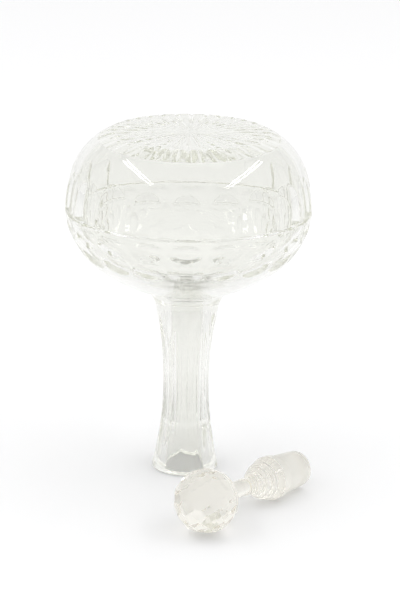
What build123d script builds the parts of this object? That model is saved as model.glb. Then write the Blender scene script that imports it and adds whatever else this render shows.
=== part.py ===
from build123d import *
import os
from math import acos, asin, atan2, cos, degrees, radians, sin, tan

# A cut-glass wine decanter that stands upside down on its mouth, with its stopper lying beside it.
# Millimetres. The origin is the centre of the mouth's rim, +Z runs up the decanter's axis to its
# star-cut base, +X is to the right, and the stopper lies on the -Y side.

# ---- Decanter: outside ----
TOTAL_HEIGHT = 238.0
WAIST_RADIUS = 15.8                            # narrowest place of the neck
WAIST_HEIGHT = 62.0
NECK_CURVE_RADIUS = 263.0                      # the neck's long hollow outline
NECK_TOP = 130.0                               # inside the bowl's underside
BOWL_RADIUS = 83.3
EQUATOR_HEIGHT = 188.0                         # where the bowl is widest
SHOULDER_RADIUS, SHOULDER_ANGLE = 66.0, 25.0   # outline from the widest place towards the base
HEEL_RADIUS = 43.0                             # from the shoulder to the flat base
SIDE_RADIUS, SIDE_ANGLE = 51.0, 50.0           # from the widest place towards the neck
UNDERSIDE_RADIUS = 105.0                       # from the side to the neck
NECK_FILLET = 18.0                             # the flare from the neck into the bowl
RIM_ROUNDING = 1.4

# ---- Decanter: inside ----
WALL = 5.6
BASE_WALL = 9.0
THROAT_RADIUS = 10.4                           # straight passage through the neck
SOCKET_DEPTH = 32.0                            # ground socket that the stopper's plug fits
SOCKET_MOUTH_RADIUS = 13.7
SOCKET_SHOULDER = 3.0                          # length of the cone from the socket to the throat
THROAT_FILLET = 8.0
TAPER = 1 / 18                                 # fall in radius along the socket and the plug

# ---- Decanter: cutting ----
NECK_PANELS = 8
PANEL_HOLLOW_RADIUS = 30.0                     # across one panel
PANEL_LENGTH_RADIUS = 195.0                    # along one panel
PANEL_DEPTH = 1.9
PANEL_SPREAD = 16.5                            # degrees each way along the tool's arc
PANEL_PHASE = -103.5                           # degrees from +X to the middle of a panel
COLUMNS = 20                                   # arches and thumbprints stand in columns
COLUMN_PHASE = -91.0
ARCH_HOLLOW_RADIUS = 60.0                      # across one arch, and of its round head
ARCH_DEPTH = 1.7
ARCH_HEAD_ANGLE = 14.0                         # degrees above the equator, where the round head starts
MITRE_HEIGHT, MITRE_DEPTH, MITRE_SIDE = 185.5, 1.3, 4.0
THUMBPRINT_ROWS = (                            # degrees below the equator, hollow radius up, across, depth
    (14.0, 18.0, 102.0, 1.7),
    (31.5, 30.0, 83.0, 1.8),
)
STAR_RAYS = 32
STAR_START, STAR_END = 5.0, 60.0
STAR_DEPTH = 1.6                               # at the edge of the base
STAR_HALF_ANGLE = 56.0                         # of the V section

# ---- Stopper, measured along its axis from the ball's centre ----
BALL_RADIUS = 21.1
FACET_DEPTH = 0.55                             # how far a flat facet cuts into the ball
FACET_ROWS = ((0, 16), (20, 16), (40, 12), (60, 8))   # degrees off the equator, facets round
STEM_WIDE, STEM_NARROW = 6.6, 5.7
STEM_START, STEM_MIDDLE, STEM_END = 17.0, 35.0, 50.0
BEADS = (                                      # radius before, at the crest, after; end of the bead
    (6.3, 8.3, 7.4, 54.0),
    (7.4, 10.6, 9.6, 58.5),
    (9.6, 12.6, 11.8, 63.0),
)
COLLAR_RADIUS = 14.9
COLLAR_START, COLLAR_END = 68.5, 73.5
COLLAR_ROUNDING = 1.2
PLUG_RADIUS = 13.6
PLUG_START, PLUG_END = 75.5, 103.0
PLUG_ROUNDING = 2.4

# ---- Where the stopper lies ----
BALL_X, BALL_Y = 14.1, -116.3
STOPPER_HEADING = 52.3                         # degrees from +X, the way the plug points

os.makedirs("parts", exist_ok=True)


def bowl_section(inset, base_height):
    """Half of the bowl's section: its outline moved in by inset, closed on the axis."""
    widest = (BOWL_RADIUS - inset, EQUATOR_HEIGHT)
    heel_radius = HEEL_RADIUS - inset
    heel_centre_height = EQUATOR_HEIGHT + (SHOULDER_RADIUS - HEEL_RADIUS) * sin(radians(SHOULDER_ANGLE))
    heel_end_angle = degrees(asin((base_height - heel_centre_height) / heel_radius))
    underside_radius = UNDERSIDE_RADIUS - inset
    past_axis = (UNDERSIDE_RADIUS - SIDE_RADIUS) * cos(radians(SIDE_ANGLE)) - BOWL_RADIUS + SIDE_RADIUS
    underside_end_angle = degrees(acos(past_axis / underside_radius))
    with BuildSketch(Plane.XZ) as section:
        with BuildLine():
            shoulder = JernArc(widest, (0, 1), SHOULDER_RADIUS - inset, SHOULDER_ANGLE)
            heel = JernArc(shoulder @ 1, shoulder % 1, heel_radius, heel_end_angle - SHOULDER_ANGLE)
            side = JernArc(widest, (0, -1), SIDE_RADIUS - inset, -SIDE_ANGLE)
            underside = JernArc(side @ 1, side % 1, underside_radius, SIDE_ANGLE - underside_end_angle)
            Polyline(heel @ 1, (0, base_height), underside @ 1)
        make_face()
    return section.sketch


def arc_cutter(centre, line_radius, tool_radius, start, swing):
    """A round tool swept along an arc in the XZ plane, from start degrees through swing degrees."""
    with BuildPart() as cutter:
        with BuildLine(Plane.XZ) as path:
            CenterArc(centre, line_radius, start, swing)
        with BuildSketch(Plane(path.line @ 0, z_dir=path.line % 0)):
            Circle(tool_radius)
        sweep()
    return cutter.part


# ---- Decanter: its section, turned about the axis ----
neck_centre_radius = WAIST_RADIUS + NECK_CURVE_RADIUS
low_angle = asin(WAIST_HEIGHT / NECK_CURVE_RADIUS)
high_angle = asin((NECK_TOP - WAIST_HEIGHT) / NECK_CURVE_RADIUS)
mouth_radius = neck_centre_radius - NECK_CURVE_RADIUS * cos(low_angle)
neck_top_radius = neck_centre_radius - NECK_CURVE_RADIUS * cos(high_angle)
socket_end_radius = SOCKET_MOUTH_RADIUS - SOCKET_DEPTH * TAPER
throat_start = SOCKET_DEPTH + SOCKET_SHOULDER

with BuildSketch(Plane.XZ) as hollow:
    add(bowl_section(WALL, TOTAL_HEIGHT - BASE_WALL))
    with BuildLine():
        Polyline(
            (0, 0),
            (SOCKET_MOUTH_RADIUS, 0),
            (socket_end_radius, SOCKET_DEPTH),
            (THROAT_RADIUS, throat_start),
            (THROAT_RADIUS, NECK_TOP + 5),
            (0, NECK_TOP + 5),
            close=True,
        )
    make_face()
    throat_top = hollow.vertices().sort_by_distance((THROAT_RADIUS, NECK_TOP))[0]
    fillet(throat_top, THROAT_FILLET)

with BuildSketch(Plane.XZ) as glass:
    add(bowl_section(0, TOTAL_HEIGHT))
    with BuildLine():
        ThreePointArc((mouth_radius, 0), (WAIST_RADIUS, WAIST_HEIGHT), (neck_top_radius, NECK_TOP))
        Polyline((neck_top_radius, NECK_TOP), (0, NECK_TOP), (0, 0), (mouth_radius, 0))
    make_face()
    junction = glass.vertices().sort_by_distance((mouth_radius, NECK_TOP))[0]
    fillet(junction, NECK_FILLET)
    add(hollow.sketch, mode=Mode.SUBTRACT)
    rim = glass.vertices().group_by(Axis.Y)[0]
    fillet(rim, RIM_ROUNDING)

# ---- Decanter: the tools that cut it ----
panel_line = PANEL_LENGTH_RADIUS - PANEL_HOLLOW_RADIUS
panel_centre = (WAIST_RADIUS - PANEL_DEPTH + PANEL_LENGTH_RADIUS, WAIST_HEIGHT)
panel_tool = arc_cutter(panel_centre, panel_line, PANEL_HOLLOW_RADIUS, 180 - PANEL_SPREAD, 2 * PANEL_SPREAD)

arch_centre = (BOWL_RADIUS - SHOULDER_RADIUS, EQUATOR_HEIGHT)
arch_line = SHOULDER_RADIUS - ARCH_DEPTH + ARCH_HOLLOW_RADIUS
arch_foot_angle = degrees(asin((MITRE_HEIGHT - EQUATOR_HEIGHT) / SHOULDER_RADIUS))
arch_swing = ARCH_HEAD_ANGLE - arch_foot_angle
arch_tool = arc_cutter(arch_centre, arch_line, ARCH_HOLLOW_RADIUS, arch_foot_angle, arch_swing)
head_place = arch_centre[0] + arch_line * cos(radians(ARCH_HEAD_ANGLE))
head_height = EQUATOR_HEIGHT + arch_line * sin(radians(ARCH_HEAD_ANGLE))

# One ray of the star: a V that starts at nothing near the centre and deepens towards the edge.
ray_slope = atan2(STAR_DEPTH, STAR_END - STAR_START)
ray_way = (cos(ray_slope), 0, -sin(ray_slope))
ray_start = Plane((STAR_START, 0, TOTAL_HEIGHT), x_dir=(0, 1, 0), z_dir=ray_way)
with BuildPart() as ray_tool:
    with BuildSketch(ray_start):
        with BuildLine():
            v_height = 2 * STAR_DEPTH
            v_half_width = v_height * tan(radians(STAR_HALF_ANGLE))
            Polyline((0, 0), (v_half_width, v_height), (-v_half_width, v_height), close=True)
        make_face()
    extrude(amount=STAR_END)

# ---- Decanter: bowl, neck, mouth and base are one piece of glass ----
with BuildPart() as decanter:
    add(glass.sketch)
    revolve(axis=Axis.Z)
    with BuildSketch(Plane.XZ):
        with Locations((BOWL_RADIUS - MITRE_DEPTH, MITRE_HEIGHT)):
            Rectangle(MITRE_SIDE, MITRE_SIDE, rotation=-45, align=Align.MIN)
    revolve(axis=Axis.Z, mode=Mode.SUBTRACT)
    with PolarLocations(0, NECK_PANELS, PANEL_PHASE):
        add(panel_tool, mode=Mode.SUBTRACT)
    with PolarLocations(0, COLUMNS, COLUMN_PHASE):
        add(arch_tool, mode=Mode.SUBTRACT)
    with Locations((0, 0, head_height)):
        with PolarLocations(head_place, COLUMNS, COLUMN_PHASE):
            Sphere(ARCH_HOLLOW_RADIUS, mode=Mode.SUBTRACT)
    for angle, up_radius, across_radius, depth in THUMBPRINT_ROWS:
        reach = SIDE_RADIUS + up_radius - depth
        ring_radius = across_radius - up_radius
        ring_place = BOWL_RADIUS - SIDE_RADIUS + reach * cos(radians(angle)) + ring_radius
        with Locations((0, 0, EQUATOR_HEIGHT - reach * sin(radians(angle)))):
            with PolarLocations(ring_place, COLUMNS, COLUMN_PHASE):
                Torus(ring_radius, up_radius, mode=Mode.SUBTRACT)
    with PolarLocations(0, STAR_RAYS, COLUMN_PHASE):
        add(ray_tool.part, mode=Mode.SUBTRACT)

decanter.part.label = "decanter"
export_step(decanter.part, "parts/decanter.step")


# ---- Stopper: turned stem, collar and plug, and a faceted ball, standing on its own axis ----
def facet_plane(off_equator, turn):
    """The flat of one facet, facing off_equator degrees from the ball's equator at turn degrees round."""
    across = cos(radians(off_equator))
    outward = Vector(across * cos(radians(turn)), across * sin(radians(turn)), sin(radians(off_equator)))
    return Plane(outward * (BALL_RADIUS - FACET_DEPTH), z_dir=outward)


with BuildPart() as ball:
    Sphere(BALL_RADIUS)
    for row, (off_equator, facets_round) in enumerate(FACET_ROWS):
        for side in (-1, 1) if off_equator else (1,):
            for facet in range(facets_round):
                turn = (facet + row / 2) * 360 / facets_round
                split(bisect_by=facet_plane(side * off_equator, turn), keep=Keep.BOTTOM)
    split(bisect_by=facet_plane(-90, 0), keep=Keep.BOTTOM)

plug_end_radius = PLUG_RADIUS - (PLUG_END - PLUG_START) * TAPER
with BuildPart() as upright_stopper:
    with BuildSketch(Plane.XZ) as turned:
        with BuildLine():
            Line((0, STEM_START), (STEM_WIDE, STEM_START))
            ThreePointArc((STEM_WIDE, STEM_START), (STEM_NARROW, STEM_MIDDLE), (BEADS[0][0], STEM_END))
            bead_start = STEM_END
            for before, crest, after, bead_end in BEADS:
                ThreePointArc((before, bead_start), (crest, (bead_start + bead_end) / 2), (after, bead_end))
                bead_start = bead_end
            Polyline(
                (BEADS[-1][2], bead_start),
                (COLLAR_RADIUS, COLLAR_START),
                (COLLAR_RADIUS, COLLAR_END),
                (PLUG_RADIUS, PLUG_START),
                (plug_end_radius, PLUG_END),
                (0, PLUG_END),
                (0, STEM_START),
            )
        make_face()
        corners = turned.vertices()
        fillet(corners.sort_by_distance((COLLAR_RADIUS, COLLAR_START))[0], COLLAR_ROUNDING)
        fillet(corners.sort_by_distance((plug_end_radius, PLUG_END))[0], PLUG_ROUNDING)
    revolve(axis=Axis.Z)
    add(ball.part)

# It lies on the ball and the collar, so its axis slopes down towards the plug.
collar_middle = (COLLAR_START + COLLAR_END) / 2
slope = asin((BALL_RADIUS - FACET_DEPTH / 2 - COLLAR_RADIUS) / collar_middle)
heading = radians(STOPPER_HEADING)
plug_way = (cos(heading) * cos(slope), sin(heading) * cos(slope), -sin(slope))
upper_side = (cos(heading) * sin(slope), sin(heading) * sin(slope), cos(slope))
lying = Plane((BALL_X, BALL_Y, BALL_RADIUS), x_dir=upper_side, z_dir=plug_way)
drop = upright_stopper.part.moved(lying.location).bounding_box().min.Z
with BuildPart() as stopper:
    with Locations(Pos(Z=-drop) * lying.location):
        add(upright_stopper.part)

stopper.part.label = "stopper"
export_step(stopper.part, "parts/stopper.step")
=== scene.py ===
from math import asin, atan2, ceil, cos, degrees, pi, radians, sin, sqrt, tan

import bmesh
import bpy
import numpy as np
from mathutils import Matrix, Vector


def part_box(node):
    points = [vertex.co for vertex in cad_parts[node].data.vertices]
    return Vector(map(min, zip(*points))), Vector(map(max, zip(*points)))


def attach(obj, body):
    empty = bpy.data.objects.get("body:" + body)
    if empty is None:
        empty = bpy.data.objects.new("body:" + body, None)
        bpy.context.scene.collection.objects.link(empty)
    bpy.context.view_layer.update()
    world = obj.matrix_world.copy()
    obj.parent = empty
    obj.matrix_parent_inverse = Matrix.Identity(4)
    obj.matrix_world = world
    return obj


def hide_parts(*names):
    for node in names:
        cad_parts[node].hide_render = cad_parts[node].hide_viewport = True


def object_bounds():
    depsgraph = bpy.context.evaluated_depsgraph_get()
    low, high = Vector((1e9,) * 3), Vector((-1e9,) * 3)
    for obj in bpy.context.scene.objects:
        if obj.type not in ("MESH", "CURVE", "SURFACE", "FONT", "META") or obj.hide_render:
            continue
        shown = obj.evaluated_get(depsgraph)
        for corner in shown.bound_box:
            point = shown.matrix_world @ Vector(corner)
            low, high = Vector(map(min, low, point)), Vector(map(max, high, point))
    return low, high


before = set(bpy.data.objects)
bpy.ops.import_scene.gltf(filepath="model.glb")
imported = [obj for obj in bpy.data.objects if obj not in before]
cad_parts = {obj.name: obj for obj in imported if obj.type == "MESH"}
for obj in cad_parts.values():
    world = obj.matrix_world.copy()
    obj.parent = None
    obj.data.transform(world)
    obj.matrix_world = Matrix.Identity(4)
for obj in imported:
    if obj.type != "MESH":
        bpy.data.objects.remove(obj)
cad_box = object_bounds()

# A cut-glass wine decanter that stands upside down on its mouth, with its stopper lying beside it.
# Sizes are in millimetres, as in the CAD part, and MM turns them into the frame's metres.
MM = 0.001

# ---- Decanter: outline ----
TOTAL_HEIGHT = 238.0
WAIST_RADIUS, WAIST_HEIGHT, NECK_CURVE_RADIUS = 15.8, 62.0, 263.0
BOWL_RADIUS, EQUATOR_HEIGHT = 83.3, 188.0
SHOULDER_RADIUS, SHOULDER_ANGLE = 66.0, 25.0
HEEL_RADIUS = 43.0
SIDE_RADIUS, SIDE_ANGLE = 51.0, 50.0
UNDERSIDE_RADIUS = 105.0
NECK_FILLET = 18.0
RIM_ROUNDING = 1.4
WALL, BASE_WALL = 5.6, 9.0
THROAT_RADIUS, THROAT_FILLET = 10.4, 8.0
SOCKET_DEPTH, SOCKET_MOUTH_RADIUS, SOCKET_SHOULDER = 32.0, 13.7, 3.0
TAPER = 1 / 18

# ---- Decanter: cutting ----
NECK_PANELS = 8
PANEL_HOLLOW_RADIUS, PANEL_LENGTH_RADIUS, PANEL_DEPTH = 30.0, 195.0, 1.9
PANEL_PHASE = -103.5
PANEL_TOP = 117.0
COLUMNS = 20
COLUMN_PHASE = -91.0
ARCH_HOLLOW_RADIUS, ARCH_DEPTH, ARCH_HEAD_ANGLE = 60.0, 1.7, 14.0
MITRE_HEIGHT, MITRE_DEPTH = 185.5, 1.3
# degrees below the equator, hollow radius up and down, hollow radius across, depth
THUMBPRINT_ROWS = ((14.0, 18.0, 102.0, 1.7), (31.5, 30.0, 83.0, 1.8))
STAR_RAYS = 32
STAR_START, STAR_END, STAR_DEPTH, STAR_HALF_ANGLE = 5.0, 60.0, 1.6, 56.0
NARROWEST_RAY = 0.06                           # least half-width of a ray, as a share of the way to the next
DEEPEST_CUT = 6.0
MITRE_BAND = 4.4                               # degrees below the equator, where the finest rings start

# ---- Stopper, measured along its axis from the ball's centre ----
BALL_RADIUS, FACET_DEPTH, FACET_BEVEL = 21.1, 0.55, 0.16
# degrees from the ball's equator, number of flats in the row
FACET_ROWS = ((0, 16), (20, 16), (40, 12), (60, 8))
STEM_WIDE, STEM_NARROW = 6.6, 5.7
STEM_START, STEM_MIDDLE, STEM_END = 17.0, 35.0, 50.0
# radius before, at the crest and after, and where the bead ends
BEADS = ((6.3, 8.3, 7.4, 54.0), (7.4, 10.6, 9.6, 58.5), (9.6, 12.6, 11.8, 63.0))
COLLAR_RADIUS, COLLAR_START, COLLAR_END, COLLAR_ROUNDING = 14.9, 68.5, 73.5, 1.2
PLUG_RADIUS, PLUG_START, PLUG_END, PLUG_ROUNDING = 13.6, 75.5, 103.0, 2.4
GROUND_START, GROUND_END = 76.5, 98.5
BALL_X, BALL_Y = 14.1, -116.3
STOPPER_HEADING = 52.3

# ---- How finely the glass is divided, round its axis and along its outline ----
FINE, MEDIUM, COARSE = 640, 320, 160
STOPPER_STEPS = 192
LIP_STEP, NECK_STEP, FILLET_STEP, UNDER_STEP = 0.5, 4.0, 0.9, 2.6
SIDE_STEP, MITRE_STEP, ARCH_STEP, HEEL_STEP = 1.15, 0.42, 1.15, 1.9
INNER_LIP_STEP, THROAT_FILLET_STEP, INNER_UNDER_STEP, INNER_STEP = 0.6, 0.9, 3.2, 2.8
SOCKET_RINGS, THROAT_RINGS = 7, 6
THROAT_START_GAP, THROAT_END_GAP = 8.0, 4.0    # from the socket's shoulder, and to the throat's fillet
BASE_RING_RADII = (2.5, STAR_START, 6.5, 8, 10, 12.5, 15.5, 19, 23, 27, 31, 35, 39, 43, 47, 50, 52)
INNER_BASE_SHARES = (0.7, 0.4, 0.15)           # of the radius of the flat inside of the base
STEM_ROWS, BEAD_ROWS, COLLAR_TOP_ROWS, COLLAR_FOOT_ROWS = 16, 10, 5, 4
PLUG_TOP_ROWS, GROUND_ROWS, TIP_ROWS = 2, 10, 8
BISECTIONS = 24                                # halvings that find how deep a cut goes
SLIVER = 0.01                                  # shorter edges, left where ball and stem meet, are closed up
DECANTER_SHARP, STOPPER_SHARP = 16, 8          # degrees, above which an edge stays crisp
ALL_SMOOTH = 180

# ---- Glass ----
GLASS_IOR = 1.54
WAVE_STRENGTH, WAVE_HEIGHT, WAVE_SCALE, WAVE_DETAIL = 0.06, 0.0004, 45.0, 2.0
SOCKET_ROUGHNESS, PLUG_ROUGHNESS = 0.14, 0.42
GROUND_MARGIN, RIM_MARGIN = 0.8, 1.0           # how far the ground bands reach past the ground surfaces


# ---------------------------------------------------------------- outlines
def arc(centre, radius, start, end, step, outward=1):
    """Rows (r, z, normal r, normal z) along an arc, in degrees from the +r direction."""
    count = max(2, ceil(radians(abs(end - start)) * radius / step))
    turns = np.radians(np.linspace(start, end, count + 1))
    return [
        (centre[0] + radius * cos(t), centre[1] + radius * sin(t), outward * cos(t), outward * sin(t))
        for t in turns
    ]


def meeting(c1, r1, c2, r2, side):
    """Where two circles meet, on that side of the line from c1 to c2."""
    c1, c2 = Vector(c1), Vector(c2)
    way = (c2 - c1).normalized()
    gap = (c2 - c1).length
    along = (gap * gap + r1 * r1 - r2 * r2) / (2 * gap)
    off = sqrt(r1 * r1 - along * along) * side
    return c1 + way * along + Vector((-way.y, way.x)) * off


def heading_to(a, b):
    """The way from a to b, in degrees from the +r direction."""
    return degrees(atan2(b[1] - a[1], b[0] - a[0]))


def bowl_arcs(inset, base_height):
    """Centres and radii of the bowl's outline moved in by inset, and where the heel ends."""
    side = (BOWL_RADIUS - SIDE_RADIUS, EQUATOR_HEIGHT)
    shoulder = (BOWL_RADIUS - SHOULDER_RADIUS, EQUATOR_HEIGHT)
    turn = radians(SHOULDER_ANGLE)
    step = SHOULDER_RADIUS - HEEL_RADIUS
    heel = (shoulder[0] + step * cos(turn), shoulder[1] + step * sin(turn))
    turn = radians(SIDE_ANGLE)
    step = UNDERSIDE_RADIUS - SIDE_RADIUS
    under = (side[0] - step * cos(turn), side[1] + step * sin(turn))
    heel_end = degrees(asin((base_height - heel[1]) / (HEEL_RADIUS - inset)))
    return {
        "side": (side, SIDE_RADIUS - inset),
        "shoulder": (shoulder, SHOULDER_RADIUS - inset),
        "heel": (heel, HEEL_RADIUS - inset),
        "under": (under, UNDERSIDE_RADIUS - inset),
        "heel_end": heel_end,
    }


outer = bowl_arcs(0, TOTAL_HEIGHT)
inner = bowl_arcs(WALL, TOTAL_HEIGHT - BASE_WALL)
neck_centre = (WAIST_RADIUS + NECK_CURVE_RADIUS, WAIST_HEIGHT)

lip_r = neck_centre[0] - sqrt((NECK_CURVE_RADIUS + RIM_ROUNDING) ** 2 - (WAIST_HEIGHT - RIM_ROUNDING) ** 2)
lip_centre = (lip_r, RIM_ROUNDING)
lip_end = heading_to(lip_centre, neck_centre)
fillet_centre = meeting(
    neck_centre, NECK_CURVE_RADIUS - NECK_FILLET, outer["under"][0], UNDERSIDE_RADIUS + NECK_FILLET, 1
)
fillet_from = heading_to(neck_centre, fillet_centre)
fillet_to = heading_to(outer["under"][0], fillet_centre)

lip_rows = arc(lip_centre, RIM_ROUNDING, -90, lip_end, LIP_STEP)
neck_rows = arc(neck_centre, NECK_CURVE_RADIUS, lip_end + 180, fillet_from % 360, NECK_STEP, -1)[1:]
fillet_rows = arc(fillet_centre, NECK_FILLET, fillet_from % 360, fillet_to + 180, FILLET_STEP, -1)[1:]
under_rows = arc(outer["under"][0], UNDERSIDE_RADIUS, fillet_to, -SIDE_ANGLE, UNDER_STEP)[1:]
side_rows = arc(outer["side"][0], SIDE_RADIUS, -SIDE_ANGLE, -MITRE_BAND, SIDE_STEP)[1:]
mitre_rows = arc(outer["side"][0], SIDE_RADIUS, -MITRE_BAND, 0, MITRE_STEP)[1:]
arch_rows = arc(outer["shoulder"][0], SHOULDER_RADIUS, 0, SHOULDER_ANGLE, ARCH_STEP)[1:]
heel_rows = arc(outer["heel"][0], HEEL_RADIUS, SHOULDER_ANGLE, outer["heel_end"], HEEL_STEP)[1:]


# ---------------------------------------------------------------- cutting tools, in one column's own axes
def panel_tool(x, y, z):
    """A neck panel: hollow across, and hollow along the neck."""
    run = PANEL_LENGTH_RADIUS - PANEL_HOLLOW_RADIUS
    centre_x = WAIST_RADIUS - PANEL_DEPTH + PANEL_LENGTH_RADIUS
    off = np.hypot(x - centre_x, z - WAIST_HEIGHT) - run
    return np.where(z < PANEL_TOP, PANEL_HOLLOW_RADIUS - np.hypot(off, y), -1.0)


arch_line = SHOULDER_RADIUS - ARCH_DEPTH + ARCH_HOLLOW_RADIUS
arch_head = radians(ARCH_HEAD_ANGLE)


def arch_tool(x, y, z):
    """An arch above the mitre ring: hollow across, following the shoulder, with a round head."""
    centre_x, centre_z = outer["shoulder"][0]
    along = np.minimum(np.arctan2(z - centre_z, x - centre_x), arch_head)
    from_x = x - centre_x - arch_line * np.cos(along)
    from_z = z - centre_z - arch_line * np.sin(along)
    inside = ARCH_HOLLOW_RADIUS - np.sqrt(from_x**2 + y**2 + from_z**2)
    return np.where(z > MITRE_HEIGHT, inside, -1.0)


def mitre_tool(x, y, z):
    """The V-shaped ring between the arches and the thumbprints."""
    return np.hypot(x, y) - (BOWL_RADIUS - MITRE_DEPTH) - np.abs(z - MITRE_HEIGHT)


def thumbprint_tool(angle, up_radius, across_radius, depth):
    """One row of thumbprints, each cut by the outside of a ring-shaped wheel."""
    reach = SIDE_RADIUS + up_radius - depth
    ring_radius = across_radius - up_radius
    ring_x = outer["side"][0][0] + reach * cos(radians(angle)) + ring_radius
    ring_z = EQUATOR_HEIGHT - reach * sin(radians(angle))

    def tool(x, y, z):
        return up_radius - np.hypot(np.hypot(x - ring_x, y) - ring_radius, z - ring_z)

    return tool


bowl_tools = [arch_tool, mitre_tool] + [thumbprint_tool(*row) for row in THUMBPRINT_ROWS]
neck_tools = [panel_tool]


def ring_points(row, count, phase, pitch, tools):
    """One ring of the outside, with the tools' cuts taken out of it along the outline's normal."""
    r, z, nr, nz = row
    turn = np.arange(count) * 2 * pi / count
    folded = (turn + pitch / 2) % pitch - pitch / 2
    x, y = r * np.cos(folded), r * np.sin(folded)
    nx, ny = nr * np.cos(folded), nr * np.sin(folded)

    def removed(t):
        return np.maximum.reduce([tool(x - nx * t, y - ny * t, z - nz * t) for tool in tools]) > 0

    low, high = np.zeros(count), np.full(count, DEEPEST_CUT)
    cut = removed(low)
    for _ in range(BISECTIONS):
        middle = (low + high) / 2
        still = removed(middle)
        low, high = np.where(still, middle, low), np.where(still, high, middle)
    depth = np.where(cut, low, 0.0)
    radius = r - nr * depth
    return np.stack(
        [radius * np.cos(turn + phase), radius * np.sin(turn + phase), np.full(count, z) - nz * depth], 1
    )


def plain_ring(row, count, phase=0.0):
    """One round ring, with no cuts in it."""
    turn = np.arange(count) * 2 * pi / count + phase
    return np.stack([row[0] * np.cos(turn), row[0] * np.sin(turn), np.full(count, row[1])], 1)


ray_slope = STAR_DEPTH / (STAR_END - STAR_START)
RAY_SIDE_STEPS = 2


def star_ring(row, phase):
    """One ring of the base. Its points gather to the sides of each ray, so that the cuts have clean edges."""
    r, z = row[0], row[1]
    per_ray = MEDIUM // STAR_RAYS
    half = per_ray // 2
    pitch = 2 * pi / STAR_RAYS
    groove = max(0.0, z - (TOTAL_HEIGHT - (r - STAR_START) * ray_slope)) if r > STAR_START else 0.0
    spread = tan(radians(STAR_HALF_ANGLE))
    side = max(asin(groove * spread / r), pitch * NARROWEST_RAY)
    turns, heights = [], []
    for ray in range(STAR_RAYS):
        for step in range(per_ray):
            k, nearest = (step, ray) if step <= half else (step - per_ray, ray + 1)
            if abs(k) <= RAY_SIDE_STEPS:
                off = side * k / RAY_SIDE_STEPS
            else:
                off = side + (pitch / 2 - side) * (abs(k) - RAY_SIDE_STEPS) / (half - RAY_SIDE_STEPS)
                off = off if k > 0 else -off
            cut = max(0.0, groove - r * abs(sin(off)) / spread) if groove else 0.0
            turns.append(nearest * pitch + off)
            heights.append(z - cut)
    turns = np.array(turns) + phase
    return np.stack([r * np.cos(turns), r * np.sin(turns), np.array(heights)], 1)


# ---------------------------------------------------------------- materials
def glass(name, colour, absorbed):
    """Clear glass, a little uneven from hand cutting.

    absorbed is how much of each colour it takes up, for each metre of the light's way through it.
    """
    material = bpy.data.materials.new(name)
    material.use_nodes = True
    nodes, links = material.node_tree.nodes, material.node_tree.links
    shader = nodes["Principled BSDF"]
    shader.inputs["Base Color"].default_value = (*colour, 1)
    shader.inputs["Roughness"].default_value = 0.0
    shader.inputs["IOR"].default_value = GLASS_IOR
    shader.inputs["Transmission Weight"].default_value = 1.0

    place = nodes.new("ShaderNodeTexCoord")
    noise = nodes.new("ShaderNodeTexNoise")
    noise.inputs["Scale"].default_value = WAVE_SCALE
    noise.inputs["Detail"].default_value = WAVE_DETAIL
    bump = nodes.new("ShaderNodeBump")
    bump.inputs["Strength"].default_value = WAVE_STRENGTH
    bump.inputs["Distance"].default_value = WAVE_HEIGHT
    links.new(place.outputs["Object"], noise.inputs["Vector"])
    links.new(noise.outputs["Fac"], bump.inputs["Height"])
    links.new(bump.outputs["Normal"], shader.inputs["Normal"])

    density = 2 * max(absorbed)
    body = nodes.new("ShaderNodeVolumeAbsorption")
    body.inputs["Color"].default_value = (*(1 - share / density for share in absorbed), 1)
    body.inputs["Density"].default_value = density
    links.new(body.outputs["Volume"], nodes["Material Output"].inputs["Volume"])
    return material


def grind_band(material, origin, axis, start, end, radius, roughness):
    """Grinds the surface within radius of an axis, between start and end along it, all in metres."""
    nodes, links = material.node_tree.nodes, material.node_tree.links

    def compute(kind, operation, values):
        """The outputs of a new node; each value is a number, a vector or another node's output."""
        node = nodes.new(kind)
        node.operation = operation
        for socket, value in zip(node.inputs, values):
            if isinstance(value, bpy.types.NodeSocket):
                links.new(value, socket)
            else:
                socket.default_value = value
        return node.outputs

    def vector(operation, *values):
        return compute("ShaderNodeVectorMath", operation, values)

    def number(operation, *values):
        return compute("ShaderNodeMath", operation, values)["Value"]

    place = nodes.new("ShaderNodeTexCoord").outputs["Object"]
    offset = vector("SUBTRACT", place, origin)["Vector"]
    along = vector("DOT_PRODUCT", offset, axis)["Value"]
    off_axis = vector("LENGTH", vector("CROSS_PRODUCT", offset, axis)["Vector"])["Value"]
    between = number("MULTIPLY", number("GREATER_THAN", along, start), number("LESS_THAN", along, end))
    ground = number("MULTIPLY", between, number("LESS_THAN", off_axis, radius))
    links.new(number("MULTIPLY", ground, roughness), nodes["Principled BSDF"].inputs["Roughness"])


# Each piece is one material all over. With two, light that goes in by one and out by the other
# would go on being darkened in the air outside.
cut_glass = glass("cut_glass", (0.912, 0.914, 0.888), (0.66, 0.64, 0.92))
solid_glass = glass("solid_glass", (0.950, 0.935, 0.880), (0.60, 0.68, 0.92))
socket_reach = (SOCKET_MOUTH_RADIUS + GROUND_MARGIN) * MM
grind_band(
    cut_glass, (0, 0, 0), (0, 0, 1), -RIM_MARGIN * MM, SOCKET_DEPTH * MM, socket_reach, SOCKET_ROUGHNESS
)


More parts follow.
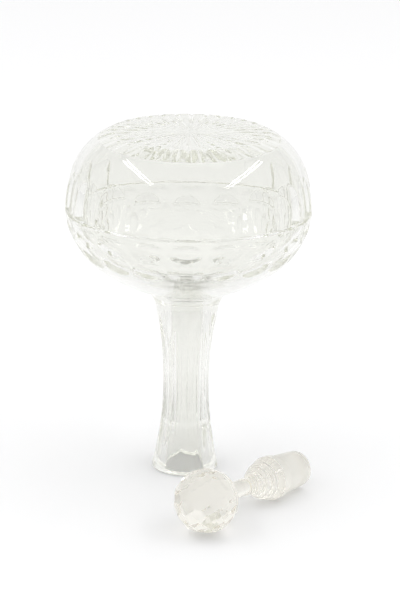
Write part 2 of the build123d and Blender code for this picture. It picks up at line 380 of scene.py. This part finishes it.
# ---------------------------------------------------------------- rings into a closed mesh
class Skin:
    """Rings of points joined into one closed surface."""

    def __init__(self):
        self.points, self.faces, self.last = [], [], None
        self.total = 0

    def pole(self, r, z):
        """A single point, for a fan to meet in; gives its number."""
        self.points.append(np.array([[r, 0.0, z]]))
        self.total += 1
        return self.total - 1

    def ring(self, points):
        """Adds a ring and joins it to the last one; one of the two may have several times as many points."""
        start, count = self.total, len(points)
        self.points.append(points)
        self.total += count
        if self.last is None:
            self.last = (start, count)
            return
        before, old = self.last
        self.last = (start, count)
        if old == count:
            for i in range(count):
                j = (i + 1) % count
                self.faces.append((before + i, before + j, start + j, start + i))
            return
        many, few = max(old, count), min(old, count)
        share = many // few
        fine, rough = (before, start) if old > count else (start, before)
        for i in range(few):
            edge = [fine + (i * share + k) % many for k in range(share + 1)]
            corners = (rough + i, rough + (i + 1) % few)
            for k in range(share):
                self.faces.append((edge[k], edge[k + 1], corners[0 if k < share // 2 else 1]))
            self.faces.append((edge[share // 2], corners[1], corners[0]))

    def fan(self, pole, start, count):
        """Closes a ring with triangles that meet in a pole."""
        for i in range(count):
            self.faces.append((start + i, start + (i + 1) % count, pole))


def piece_from(name, skin, material, sharp, scale=MM):
    """A closed mesh object, smooth except along edges sharper than sharp degrees."""
    mesh = bpy.data.meshes.new(name)
    mesh.materials.append(material)
    mesh.from_pydata((np.concatenate(skin.points) * scale).tolist(), [], skin.faces)
    work = bmesh.new()
    work.from_mesh(mesh)
    for face in work.faces:
        face.smooth = True
    bmesh.ops.recalc_face_normals(work, faces=work.faces)
    work.to_mesh(mesh)
    work.free()
    mesh.set_sharp_from_angle(angle=radians(sharp))
    piece = bpy.data.objects.new(name, mesh)
    bpy.context.scene.collection.objects.link(piece)
    return piece


bowl_phase, neck_phase = radians(COLUMN_PHASE), radians(PANEL_PHASE)
bowl_pitch, panel_pitch = 2 * pi / COLUMNS, 2 * pi / NECK_PANELS
# The neck's rings are rolled by whole points, so that each starts beside the first point of the bowl's.
neck_roll = round((bowl_phase - neck_phase) * MEDIUM / (2 * pi))
start_phase = neck_phase + neck_roll * 2 * pi / MEDIUM


def add_outside(skin):
    """Rings from the middle of the base down to the rim."""
    centre = skin.pole(0.0, TOTAL_HEIGHT)
    skin.ring(star_ring((BASE_RING_RADII[0], TOTAL_HEIGHT), bowl_phase))
    skin.fan(centre, *skin.last)
    for radius in (*BASE_RING_RADII[1:], heel_rows[-1][0]):
        skin.ring(star_ring((radius, TOTAL_HEIGHT), bowl_phase))
    for row in reversed(heel_rows[:-1]):
        skin.ring(star_ring(row, bowl_phase))
    for rows, count in ((arch_rows, FINE), (mitre_rows, FINE), (side_rows, FINE), (under_rows, MEDIUM)):
        for row in reversed(rows):
            skin.ring(ring_points(row, count, bowl_phase, bowl_pitch, bowl_tools))
    for row in reversed(fillet_rows):
        skin.ring(plain_ring(row, MEDIUM, start_phase))
    for row in reversed(neck_rows):
        ring = ring_points(row, MEDIUM, neck_phase, panel_pitch, neck_tools)
        skin.ring(np.roll(ring, -neck_roll, axis=0))
    for row in reversed(lip_rows):
        skin.ring(plain_ring(row, MEDIUM, start_phase))


def inside_rows():
    """Rows (r, z) of the inside, from the rim up to the edge of the flat inside of the base."""
    lean = degrees(atan2(TAPER, 1))
    lip = (SOCKET_MOUTH_RADIUS - RIM_ROUNDING * TAPER + RIM_ROUNDING / cos(radians(lean)), RIM_ROUNDING)
    rows = arc(lip, RIM_ROUNDING, 270, 180 + lean, INNER_LIP_STEP)
    for depth in np.linspace(RIM_ROUNDING + 1, SOCKET_DEPTH, SOCKET_RINGS):
        rows.append((SOCKET_MOUTH_RADIUS - depth * TAPER, depth))
    throat_start = SOCKET_DEPTH + SOCKET_SHOULDER
    rows.append((THROAT_RADIUS, throat_start))

    under_centre = inner["under"][0]
    reach = UNDERSIDE_RADIUS - WALL + THROAT_FILLET
    edge_r = THROAT_RADIUS + THROAT_FILLET
    edge = (edge_r, under_centre[1] - sqrt(reach**2 - (edge_r - under_centre[0]) ** 2))
    turned = heading_to(edge, under_centre)
    for height in np.linspace(throat_start + THROAT_START_GAP, edge[1] - THROAT_END_GAP, THROAT_RINGS):
        rows.append((THROAT_RADIUS, height))
    rows += arc(edge, THROAT_FILLET, 180, turned, THROAT_FILLET_STEP)
    rows += arc(*inner["under"], turned - 180, -SIDE_ANGLE, INNER_UNDER_STEP)[1:]
    rows += arc(*inner["side"], -SIDE_ANGLE, 0, INNER_STEP)[1:]
    rows += arc(*inner["shoulder"], 0, SHOULDER_ANGLE, INNER_STEP)[1:]
    rows += arc(*inner["heel"], SHOULDER_ANGLE, inner["heel_end"], INNER_STEP)[1:]
    return rows


def add_inside(skin):
    """Rings from the rim up to the middle of the inside of the base."""
    rows = inside_rows()
    edge_r, edge_z = rows[-1][:2]
    rows += [(edge_r * share, edge_z) for share in INNER_BASE_SHARES]
    for row in rows:
        skin.ring(plain_ring(row, COARSE, start_phase))
    skin.fan(skin.pole(0.0, TOTAL_HEIGHT - BASE_WALL), *skin.last)


def build_decanter():
    skin = Skin()
    add_outside(skin)
    add_inside(skin)
    return piece_from("decanter_glass", skin, cut_glass, DECANTER_SHARP)


# ---------------------------------------------------------------- stopper
def through(a, b, c, count):
    """Points along the arc that starts at a, passes b and ends at c, without a."""
    a, b, c = Vector(a), Vector(b), Vector(c)
    d = 2 * (a.x * (b.y - c.y) + b.x * (c.y - a.y) + c.x * (a.y - b.y))
    aa, bb, cc = a.length_squared, b.length_squared, c.length_squared
    centre = Vector((
        (aa * (b.y - c.y) + bb * (c.y - a.y) + cc * (a.y - b.y)) / d,
        (aa * (c.x - b.x) + bb * (a.x - c.x) + cc * (b.x - a.x)) / d,
    ))
    start, end = atan2(*(a - centre).yx), atan2(*(c - centre).yx)
    swing = (end - start + pi) % (2 * pi) - pi
    radius = (a - centre).length
    turns = [start + swing * k / count for k in range(1, count + 1)]
    return [(centre.x + radius * cos(turn), centre.y + radius * sin(turn)) for turn in turns]


def rounded(corner, before, after, radius, count):
    """Points along the rounding of a corner between the points before and after it."""
    corner = Vector(corner)
    to_before, to_after = (Vector(before) - corner).normalized(), (Vector(after) - corner).normalized()
    half = to_before.angle(to_after) / 2
    start, end = corner + to_before * radius / tan(half), corner + to_after * radius / tan(half)
    centre = corner + (to_before + to_after).normalized() * radius / sin(half)
    middle = centre + (corner - centre).normalized() * radius
    return [tuple(start)] + through(start, middle, end, count)


def straight(a, b, count):
    """Points along the line from a to b, without a."""
    return [tuple(Vector(a).lerp(Vector(b), k / count)) for k in range(1, count + 1)]


def plug_point(place):
    """The point of the tapered plug at a place along the axis."""
    return PLUG_RADIUS - (place - PLUG_START) * TAPER, place


def stopper_outline():
    """Points (r, along the axis) from the inside of the ball to the end of the plug."""
    points = [(STEM_WIDE, STEM_START)]
    points += through(points[0], (STEM_NARROW, STEM_MIDDLE), (BEADS[0][0], STEM_END), STEM_ROWS)
    start = STEM_END
    for before, crest, after, end in BEADS:
        points += through((before, start), (crest, (start + end) / 2), (after, end), BEAD_ROWS)
        start = end
    neck, top = (BEADS[-1][2], start), (COLLAR_RADIUS, COLLAR_START)
    bottom, plug = (COLLAR_RADIUS, COLLAR_END), (PLUG_RADIUS, PLUG_START)
    points += rounded(top, neck, bottom, COLLAR_ROUNDING, COLLAR_TOP_ROWS)
    points += rounded(bottom, top, plug, COLLAR_ROUNDING / 2, COLLAR_FOOT_ROWS)
    points += [plug]
    points += straight(plug, plug_point(GROUND_START), PLUG_TOP_ROWS)
    points += straight(points[-1], plug_point(GROUND_END), GROUND_ROWS)
    points += rounded(plug_point(PLUG_END), plug, (0, PLUG_END), PLUG_ROUNDING, TIP_ROWS)
    return points


def ball_flats():
    """Which way each flat of the ball faces: one away from the plug, and rows round the stopper's axis."""
    flats = [(-90, 0)]
    for row, (off_equator, facets) in enumerate(FACET_ROWS):
        for side in (-1, 1) if off_equator else (1,):
            flats += [(side * off_equator, (facet + row / 2) * 360 / facets) for facet in range(facets)]
    ways = []
    for up, turn in flats:
        level = cos(radians(up))
        ways.append(Vector((level * cos(radians(turn)), level * sin(radians(turn)), sin(radians(up)))))
    return ways


def build_ball():
    """The faceted ball: a cube that is cut down by one flat after another, with softened edges."""
    work = bmesh.new()
    bmesh.ops.create_cube(work, size=4 * BALL_RADIUS)
    for way in ball_flats():
        everything = work.verts[:] + work.edges[:] + work.faces[:]
        bmesh.ops.bisect_plane(
            work, geom=everything, plane_co=way * (BALL_RADIUS - FACET_DEPTH), plane_no=way, clear_outer=True
        )
        bmesh.ops.holes_fill(work, edges=[e for e in work.edges if e.is_boundary])
    edges = work.edges[:]
    bmesh.ops.bevel(
        work, geom=edges, offset=FACET_BEVEL, segments=1, affect="EDGES", profile=0.5, clamp_overlap=True
    )
    bmesh.ops.recalc_face_normals(work, faces=work.faces)
    mesh = bpy.data.meshes.new("ball")
    work.to_mesh(mesh)
    work.free()
    mesh.materials.append(solid_glass)
    ball = bpy.data.objects.new("ball", mesh)
    bpy.context.scene.collection.objects.link(ball)
    return ball


def join_ball(turned):
    """Joins the ball to the turned part, and closes up the slivers left where they meet."""
    ball = build_ball()
    join = turned.modifiers.new("join", "BOOLEAN")
    join.operation, join.object, join.solver = "UNION", ball, "EXACT"
    bpy.context.view_layer.update()
    joined = bpy.data.meshes.new_from_object(turned.evaluated_get(bpy.context.evaluated_depsgraph_get()))
    turned.modifiers.clear()
    turned.data = joined
    bpy.data.objects.remove(ball)
    work = bmesh.new()
    work.from_mesh(joined)
    bmesh.ops.dissolve_degenerate(work, dist=SLIVER, edges=work.edges)
    work.to_mesh(joined)
    work.free()


def lay_down(mesh):
    """Lays the stopper on its ball and its collar, so that its axis slopes down towards the plug.

    Gives the ball's centre, in metres, and the way that the plug points.
    """
    collar_middle = (COLLAR_START + COLLAR_END) / 2
    slope = asin((BALL_RADIUS - FACET_DEPTH / 2 - COLLAR_RADIUS) / collar_middle)
    heading = radians(STOPPER_HEADING)
    plug_way = Vector((cos(heading) * cos(slope), sin(heading) * cos(slope), -sin(slope)))
    upper_side = Vector((cos(heading) * sin(slope), sin(heading) * sin(slope), cos(slope)))
    axes = Matrix((upper_side, plug_way.cross(upper_side), plug_way)).transposed().to_4x4()
    mesh.transform(Matrix.Translation(Vector((BALL_X, BALL_Y, 0)) * MM) @ Matrix.Scale(MM, 4) @ axes)
    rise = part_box("stopper")[0].z - min(v.co.z for v in mesh.vertices)
    mesh.transform(Matrix.Translation((0, 0, rise)))
    return (BALL_X * MM, BALL_Y * MM, rise), plug_way


def build_stopper():
    outline = stopper_outline()
    skin = Skin()
    start = skin.pole(0.0, outline[0][1])
    skin.ring(plain_ring(outline[0], STOPPER_STEPS))
    skin.fan(start, *skin.last)
    for point in outline[1:]:
        skin.ring(plain_ring(point, STOPPER_STEPS))
    skin.fan(skin.pole(0.0, PLUG_END), *skin.last)

    # in millimetres, and smooth all over, until the ball is on and it has been laid down
    piece = piece_from("stopper_glass", skin, solid_glass, ALL_SMOOTH, scale=1.0)
    join_ball(piece)
    ball_centre, plug_way = lay_down(piece.data)
    plug_reach = (PLUG_RADIUS + GROUND_MARGIN) * MM
    grind_band(
        solid_glass, ball_centre, plug_way, GROUND_START * MM, GROUND_END * MM, plug_reach, PLUG_ROUGHNESS
    )
    for face in piece.data.polygons:
        face.use_smooth = True
    piece.data.set_sharp_from_angle(angle=radians(STOPPER_SHARP))
    return piece


# ---------------------------------------------------------------- the pieces
decanter = build_decanter()
stopper = build_stopper()
for piece, node, slot in ((decanter, "decanter", "decanter_glass"), (stopper, "stopper", "stopper_glass")):
    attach(piece, node)
    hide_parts(node)

# ---------------------------------------------------------------- floor, light and camera
scene = bpy.context.scene
FLOOR_SIZE, FLOOR_BACK, FLOOR_GAP = 14.0, 2.0, 0.0002
PAPER_COLOUR, PAPER_ROUGHNESS, PAPER_SHINE = (0.93, 0.93, 0.935), 0.7, 0.2


def white_paper():
    """Matt white paper, for the floor."""
    material = bpy.data.materials.new("paper")
    material.use_nodes = True
    shader = material.node_tree.nodes["Principled BSDF"]
    shader.inputs["Base Color"].default_value = (*PAPER_COLOUR, 1)
    shader.inputs["Roughness"].default_value = PAPER_ROUGHNESS
    shader.inputs["Specular IOR Level"].default_value = PAPER_SHINE
    return material


bpy.ops.mesh.primitive_plane_add(size=FLOOR_SIZE, location=(0, FLOOR_BACK, cad_box[0].z - FLOOR_GAP))
floor = bpy.context.object
floor.name = "floor"
floor.data.materials.append(white_paper())

# A pair of tubes on each side gives the slanting reflection on that side of the bowl.
LIGHT_TARGET = (0, 0, 0.22)
TUBE_WIDTH, TUBE_GAP, TUBE_POWER = 0.035, 0.045, 1.3
LEFT_TUBE_PLACE, LEFT_TUBE_LENGTH = (-1.0, -0.22, 1.50), 1.45
RIGHT_TUBE_PLACE, RIGHT_TUBE_LENGTH = (1.03, -0.20, 1.38), 1.65
SOFTBOX_PLACE, SOFTBOX_SIZE, SOFTBOX_POWER = (0.1, 0.6, 2.2), 1.4, 3


def area_light(name, place, width, length, power, shift=0.0):
    """A rectangular light that faces the bowl, with its length as near as possible to front and back."""
    data = bpy.data.lights.new(name, "AREA")
    data.shape, data.size, data.size_y, data.energy = "RECTANGLE", width, length, power
    light = bpy.data.objects.new(name, data)
    out = (Vector(place) - Vector(LIGHT_TARGET)).normalized()
    side = Vector((0, 1, 0)).cross(out).normalized()
    axes = Matrix((side, out.cross(side), out)).transposed().to_4x4()
    light.matrix_world = Matrix.Translation(Vector(place) + side * shift) @ axes
    scene.collection.objects.link(light)


for number, shift in enumerate((-TUBE_GAP, TUBE_GAP)):
    area_light(f"left_tube_{number}", LEFT_TUBE_PLACE, TUBE_WIDTH, LEFT_TUBE_LENGTH, TUBE_POWER, shift)
    area_light(f"right_tube_{number}", RIGHT_TUBE_PLACE, TUBE_WIDTH, RIGHT_TUBE_LENGTH, TUBE_POWER, shift)
area_light("top_softbox", SOFTBOX_PLACE, SOFTBOX_SIZE, SOFTBOX_SIZE, SOFTBOX_POWER)

# The studio is bright all round, a little dimmer in front and a little brighter above.
# A direction's Y is -1 in front and 1 behind, and its Z is 1 straight up.
FRONT_LEVEL, BACK_LEVEL, EXTRA_ABOVE = 0.92, 1.0, 0.05
world = bpy.data.worlds.new("studio")
scene.world = world
world.use_nodes = True
nodes, links = world.node_tree.nodes, world.node_tree.links


def ramp(value, start, end, low, high):
    """The output of a world node that goes from low to high while value goes from start to end."""
    node = nodes.new("ShaderNodeMapRange")
    for socket, limit in (("From Min", start), ("From Max", end), ("To Min", low), ("To Max", high)):
        node.inputs[socket].default_value = limit
    links.new(value, node.inputs["Value"])
    return node.outputs["Result"]


way = nodes.new("ShaderNodeSeparateXYZ")
links.new(nodes.new("ShaderNodeTexCoord").outputs["Generated"], way.inputs["Vector"])
total = nodes.new("ShaderNodeMath")
links.new(ramp(way.outputs["Y"], -0.6, 0.6, FRONT_LEVEL, BACK_LEVEL), total.inputs[0])
links.new(ramp(way.outputs["Z"], 0.25, 0.85, 0.0, EXTRA_ABOVE), total.inputs[1])
links.new(total.outputs["Value"], nodes["Background"].inputs["Strength"])
nodes["Background"].inputs["Color"].default_value = (1, 1, 1, 1)

# The camera looks down on the decanter from in front, as the photograph does.
CAMERA_PLACE = (0.0, -1.450, 0.572)
CAMERA_PITCH, CAMERA_YAW, CAMERA_ROLL = 0.302, 0.006, 0.017
LENS, SENSOR = 133.55, 36.0
CLIP_START, CLIP_END = 0.05, 60
camera = bpy.data.objects.new("camera", bpy.data.cameras.new("camera"))
scene.collection.objects.link(camera)
forward = Vector((
    sin(CAMERA_YAW) * cos(CAMERA_PITCH), cos(CAMERA_YAW) * cos(CAMERA_PITCH), -sin(CAMERA_PITCH)
))
level = forward.cross(Vector((0, 0, 1))).normalized()
upright = level.cross(forward)
right = level * cos(CAMERA_ROLL) + upright * sin(CAMERA_ROLL)
up = right.cross(forward)
camera.matrix_world = Matrix.Translation(CAMERA_PLACE) @ Matrix((right, up, -forward)).transposed().to_4x4()
camera.data.lens, camera.data.sensor_width = LENS, SENSOR
camera.data.clip_start, camera.data.clip_end = CLIP_START, CLIP_END
scene.camera = camera

scene.view_settings.view_transform = "Standard"
# Light goes round inside the glass many times, and a path that is cut short shows as black.
GLASS_BOUNCES, FLOOR_BOUNCES, GLOSSY_BLUR = 96, 3, 0.4
scene.cycles.max_bounces = GLASS_BOUNCES
scene.cycles.transmission_bounces = GLASS_BOUNCES
scene.cycles.glossy_bounces = GLASS_BOUNCES
scene.cycles.diffuse_bounces = FLOOR_BOUNCES
scene.cycles.blur_glossy = GLOSSY_BLUR
